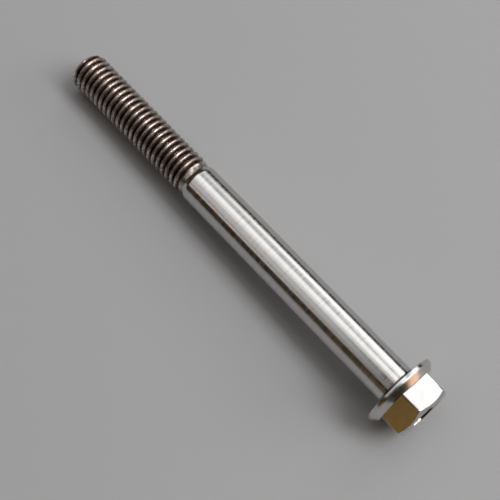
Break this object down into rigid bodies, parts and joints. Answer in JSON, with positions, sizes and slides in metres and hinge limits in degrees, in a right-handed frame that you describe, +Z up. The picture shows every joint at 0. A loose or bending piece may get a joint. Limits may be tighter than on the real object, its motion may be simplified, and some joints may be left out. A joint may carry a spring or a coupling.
{
  "type": "hexagon flange bolt",
  "caption": "Steel hexagon flange bolt with a long plain shank and a short right-hand thread, lying at rest.",
  "frame": {"origin": "middle of the bounding box, on the floor that the bolt lies on", "axes": "+X runs along the bolt from the threaded end to the head, +Z is up. The bolt's own axis rises by about 2.2 degrees towards the head, because the flange is wider than the thread."},
  "size_m": [0.07, 0.0108, 0.0108],
  "materials": {
    "steel": "ground and polished shank and hexagon, brighter streaks along the shank, slightly darker rolled thread"
  },
  "bodies": {
    "root": {"flange_bolt": "steel"}
  },
  "joints": []
}
